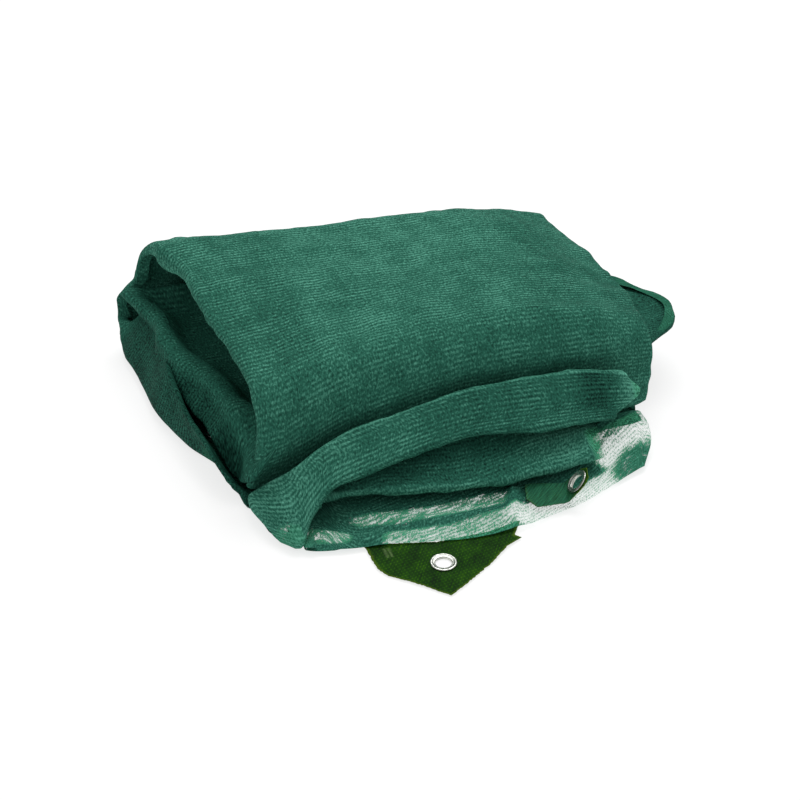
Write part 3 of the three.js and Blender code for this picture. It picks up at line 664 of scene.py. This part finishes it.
# Two corner patches of woven polyethylene tarpaulin, cut with a hot knife and sewn on by one edge, which
# carry the eyelets. The front one lies flat on the floor with its point forwards, the other on the skirt with
# its end bent up. They are worked out flat, from the eyelet's hole out to the cut edge, and then laid.
FRONT_OUTLINE = [(-82, -80), (-81, -88), (-79, -112), (-74, -122), (-55, -138), (-34, -158.5), (-18, -149),
                 (10, -130), (27, -116), (41, -109), (37, -105), (47, -89), (18, -95), (-24, -95), (-55, -88)]
FRONT_EYELET = np.array([-28.0, -121.0])
FRONT_LEVEL = 1.7
SIDE_OUTLINE = [(0, 12), (0, -8), (7, -18), (18, -16), (30, -14), (36, -12.5), (46, -12), (53, -11), (58, -6),
                (58, 6), (53, 10.5), (46, 11.5), (36, 11.5), (18, 13), (7, 13)]
SIDE_EYELET = np.array([46.0, 0.0])
SIDE_PLACE = np.array([61.3, -65.0, 8.6])
SIDE_TURN, SIDE_RISE = math.radians(-14), math.radians(50)
SIDE_BEND, SIDE_RADIUS = 30.0, 6.0       # where the patch starts to bend up, and the bend's radius
BARREL = 7.6                             # radius of the hole under the eyelet
RINGS, RAY_SPACING = 34, 1.3             # rows from the hole to the cut edge, and mm between rays at the edge
FRAY = 0.28                              # how far the cut edge strays from its line
RIPPLES = (0.35, 0.25)
THICKNESS = 0.0006
STITCHES_X, STITCHES_Y = (-67.5, -64.0), (-102.0, -92.0)


def cut_sheet(outline, eyelet, seed):
    """Straight rays from the eyelet's hole out to the frayed outline, and the share still to go at each."""
    corners = np.array(outline, float)
    sides = []
    for a, b in zip(corners, np.roll(corners, -1, axis=0)):
        count = max(int(np.hypot(*(b - a)) / RAY_SPACING), 2)
        sides.append(a + (b - a) * np.linspace(0, 1, count, endpoint=False)[:, None])
    rim = np.concatenate(sides)
    ray = rim - eyelet
    ray /= np.linalg.norm(ray, axis=1, keepdims=True)
    rim += ray * np.random.default_rng(seed).normal(0, FRAY, (len(rim), 1))
    share = np.linspace(0, 1, RINGS)[:, None, None]
    start = eyelet + ray * BARREL
    return start + (rim - start) * share, np.repeat(1 - share[..., 0], len(rim), 1)


def side_middle(s):
    """Along and up at a length s of the side patch's middle line: level, a bend, and a straight rise."""
    angle = np.clip((s - SIDE_BEND) / SIDE_RADIUS, 0, SIDE_RISE)
    rest = np.maximum(s - SIDE_BEND - SIDE_RADIUS * SIDE_RISE, 0)
    run = np.minimum(s, SIDE_BEND) + SIDE_RADIUS * np.sin(angle) + rest * math.cos(SIDE_RISE)
    return run, SIDE_RADIUS * (1 - np.cos(angle)) + rest * math.sin(SIDE_RISE)


def side_to_bundle(local):
    """Turns points of the side patch's own frame about Z and moves them to its place."""
    c, s = math.cos(SIDE_TURN), math.sin(SIDE_TURN)
    return local @ np.array([[c, s, 0], [-s, c, 0], [0, 0, 1]]) + SIDE_PLACE


def laid_front(flat):
    """On the floor, with ripples that fade out round the eyelet and under the skirt."""
    px, py = flat[..., 0], flat[..., 1]
    near_eyelet = ease(11, 30, np.linalg.norm(flat - FRONT_EYELET, axis=-1))
    ripple = RIPPLES[0] * np.sin(px / 9 + py / 17) + RIPPLES[1] * np.sin(py / 7 - px / 23)
    lift = FRONT_LEVEL + near_eyelet * (0.3 + ripple * (1 - ease(-112, -98, py)))
    return np.concatenate([flat, lift[..., None]], -1)


def laid_side(flat):
    run, up = side_middle(flat[..., 0])
    return side_to_bundle(np.stack([run, flat[..., 1], up], -1))


# Woven polyethylene tape, coated: flat tapes about 2 mm wide, dark olive, with a dull shine that catches on
# the weave. The cut edge is lighter and browner.
tape_material, tree = new_material("woven_polyethylene_tarpaulin")
TAPE = 0.0021
cloth = add("UVMap", uv_map="UVMap")
turned = add("Mapping", {"Vector": cloth, "Rotation": (0, 0, math.radians(32))})
warp = add("SeparateXYZ", {0: turned})
warp_wave, weft_wave = (calc("SINE", scaled(way, math.pi / TAPE)) for way in (warp, warp.node.outputs[1]))
over = calc("MULTIPLY", warp_wave, weft_wave)
slit = calc("MULTIPLY", calc("ABSOLUTE", warp_wave), calc("ABSOLUTE", weft_wave))
fibre = speckle(1.0, 3.0, 0.32, 0.68, (900.0, 60.0, 1.0), turned)
blot = speckle(60.0, 3.0, 0.32, 0.68)
tone = scaled(over, 0.14, scaled(slit, 0.14, scaled(fibre, 0.36, scaled(blot, 0.30))))
skin = ramp(tone, (0.12, "#0b2608"), (0.95, "#41700b"), middle=(0.5, "#1e460b"))
edge = spread(scaled(fibre, 0.03, named_value("inside")), 0.015, 0.075, 1.0, 0.0)
skin = mixed(edge, skin, colour("#4f6a16"))
skin = mixed(named_value("stitch"), skin, colour("#7f9a63"))
# painted net and shade: the side patch's root takes the dark teal of the net's loose filaments over it and
# the shade under them
painted_net_and_shade = mixed(fibre, colour("#134232"), colour("#327f64"))
skin = mixed(named_value("veil"), skin, painted_net_and_shade)
bump = add("Bump", {"Strength": 0.5, "Distance": 0.0003, "Height": scaled(over, 0.5, slit)})
finish_shader(Base_Color=skin, Roughness=spread(fibre, 0.0, 1.0, 0.55, 0.75), Normal=bump,
              Specular_IOR_Level=0.06)

for name, outline_points, eyelet, lay_down, cut, seed in [
    ("corner_patch_front", FRONT_OUTLINE, FRONT_EYELET, laid_front, (0.135, 0.080), 21),
    ("corner_patch_side", SIDE_OUTLINE, SIDE_EYELET, laid_side, (0.058, 0.030), 22),
]:
    flat, inside = cut_sheet(outline_points, eyelet, seed)
    # two faint stitches in the front patch, and painted net filaments and shade over the side patch's root
    past_end = flat[..., 1] - np.clip(flat[..., 1], *STITCHES_Y)
    from_stitch = np.minimum(*(np.hypot(flat[..., 0] - sx, past_end) for sx in STITCHES_X))
    stitch = 0.45 * np.exp(-(from_stitch / 0.8) ** 2) * (name == "corner_patch_front")
    veil = 0.65 * (1 - ease(30, 46, flat[..., 0])) * (name == "corner_patch_side")
    patch = grid_mesh(name + "_cloth", metres(lay_down(flat)), flat / 1000, wrap_columns=True,
                      inside=inside, stitch=stitch, veil=veil)
    thickness = patch.modifiers.new("thickness", "SOLIDIFY")
    thickness.thickness, thickness.offset = THICKNESS, 0.0
    patch.data.materials.append(tape_material)
    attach(patch, "root")
    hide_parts(name)

# Eyelets: two-part nickel-plated eyelets pressed round a hole in each patch. The upper half has a rounded
# rim, and falls in a smooth funnel to the barrel. The profile is radius and height, once round the metal.
EYELET_PROFILE = [(6.5, 0.0), (6.55, -1.0), (7.0, -1.60), (8.4, -1.66), (9.9, -1.66), (10.45, -1.45),
                  (10.4, -0.95), (9.6, -0.8), (7.5, -0.8), (7.3, 0.0), (7.5, 0.8), (9.6, 0.8), (10.4, 0.95),
                  (10.5, 1.3), (10.0, 1.65), (9.2, 1.7), (8.6, 1.45), (7.8, 1.2), (7.1, 1.1), (6.6, 0.8)]


def rounded(profile, steps):
    """Closed curve through the profile's points, with steps on each side, by a Catmull-Rom cubic."""
    p = np.array(profile)
    before, after, beyond = np.roll(p, 1, 0), np.roll(p, -1, 0), np.roll(p, -2, 0)
    t = (np.arange(steps) / steps)[None, :, None]
    p0, p1, p2, p3 = (q[:, None] for q in (before, p, after, beyond))
    curve = p1 + 0.5 * t * (p2 - p0 + t * (2 * p0 - 5 * p1 + 4 * p2 - p3 + t * (3 * (p1 - p2) + p3 - p0)))
    return curve.reshape(-1, 2)


# Nickel plate: pale, a little warm, duller where it was handled and worn.
metal_material, tree = new_material("nickel_plated_eyelet")
cloth = add("TexCoord").node.outputs["Object"]
handled = speckle(900.0, 3.0, 0.35, 0.65)
worn = speckle(260.0, 2.0, 0.35, 0.65)
shade = ramp(worn, (0.0, "#a9aca4"), (1.0, "#d3d5cd"))
bump = add("Bump", {"Strength": 0.15, "Distance": 0.0001, "Height": handled})
finish_shader(Base_Color=shade, Metallic=1.0, Roughness=spread(handled, 0.0, 1.0, 0.24, 0.42), Normal=bump)

around = np.linspace(0, math.tau, 72, endpoint=False)
ring = rounded(EYELET_PROFILE, 3)
lathe = np.stack([ring[:, :1] * np.cos(around), ring[:, :1] * np.sin(around), ring[:, 1:] + 0 * around], -1)
run, up = side_middle(SIDE_EYELET[0])
c, s = math.cos(SIDE_RISE), math.sin(SIDE_RISE)
raised = lathe @ np.array([[c, 0, s], [0, 1, 0], [-s, 0, c]]) + np.array([run, 0, up])
for name, placed in [
    ("eyelet_front", lathe + np.array([*FRONT_EYELET, FRONT_LEVEL])),
    ("eyelet_side", side_to_bundle(raised)),
]:
    eyelet = grid_mesh(name + "_metal", metres(placed), wrap_columns=True, wrap_rows=True)
    eyelet.data.materials.append(metal_material)
    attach(eyelet, "root")
    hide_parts(name)

# Studio: a white floor that is lit a little from within, as a light table is, soft light from above and
# behind, and the camera of the photograph.
bpy.ops.mesh.primitive_plane_add(size=12.0, location=(0, 0, 0))
floor = bpy.context.object
floor.name = "studio_floor"
white, tree = new_material("studio_white")
finish_shader(Base_Color=(0.32, 0.32, 0.32, 1.0), Roughness=1.0, Specular_IOR_Level=0.0,
              Emission_Color=(1, 1, 1, 1), Emission_Strength=0.74)
floor.data.materials.append(white)

world = bpy.data.worlds.new("studio_light")
bpy.context.scene.world = world
world.use_nodes = True
tree = world.node_tree
tree.nodes.clear()
upwards = add("SeparateXYZ", {0: add("TexCoord")}).node.outputs[2]
sky = spread(upwards, 0.0, 0.9, 0.42, 0.74)
add("OutputWorld", {"Surface": add("Background", {"Color": (1, 1, 1, 1), "Strength": sky})})


def softbox(name, place, aim, size, power):
    light = bpy.data.lights.new(name, "AREA")
    light.shape, light.size, light.energy = "SQUARE", size, power
    lamp = bpy.data.objects.new(name, light)
    lamp.location = place
    lamp.rotation_euler = (Vector(aim) - Vector(place)).to_track_quat("-Z", "Y").to_euler()
    bpy.context.collection.objects.link(lamp)


softbox("overhead_softbox", place=(0.5, 1.0, 2.1), aim=(0, 0.05, 0.05), size=1.4, power=27.0)

camera_data = bpy.data.cameras.new("camera")
camera_data.lens, camera_data.sensor_width = 72.0, 36.0
camera = bpy.data.objects.new("camera", camera_data)
camera.location = (-0.3655, -1.0896, 0.8021)
azimuth, elevation = math.radians(-17), math.radians(34)
towards_camera = Vector((math.sin(azimuth) * math.cos(elevation), -math.cos(azimuth) * math.cos(elevation),
                         math.sin(elevation)))
camera.rotation_euler = (-towards_camera).to_track_quat("-Z", "Y").to_euler()
bpy.context.collection.objects.link(camera)
bpy.context.scene.camera = camera
bpy.context.scene.view_settings.view_transform = "Standard"
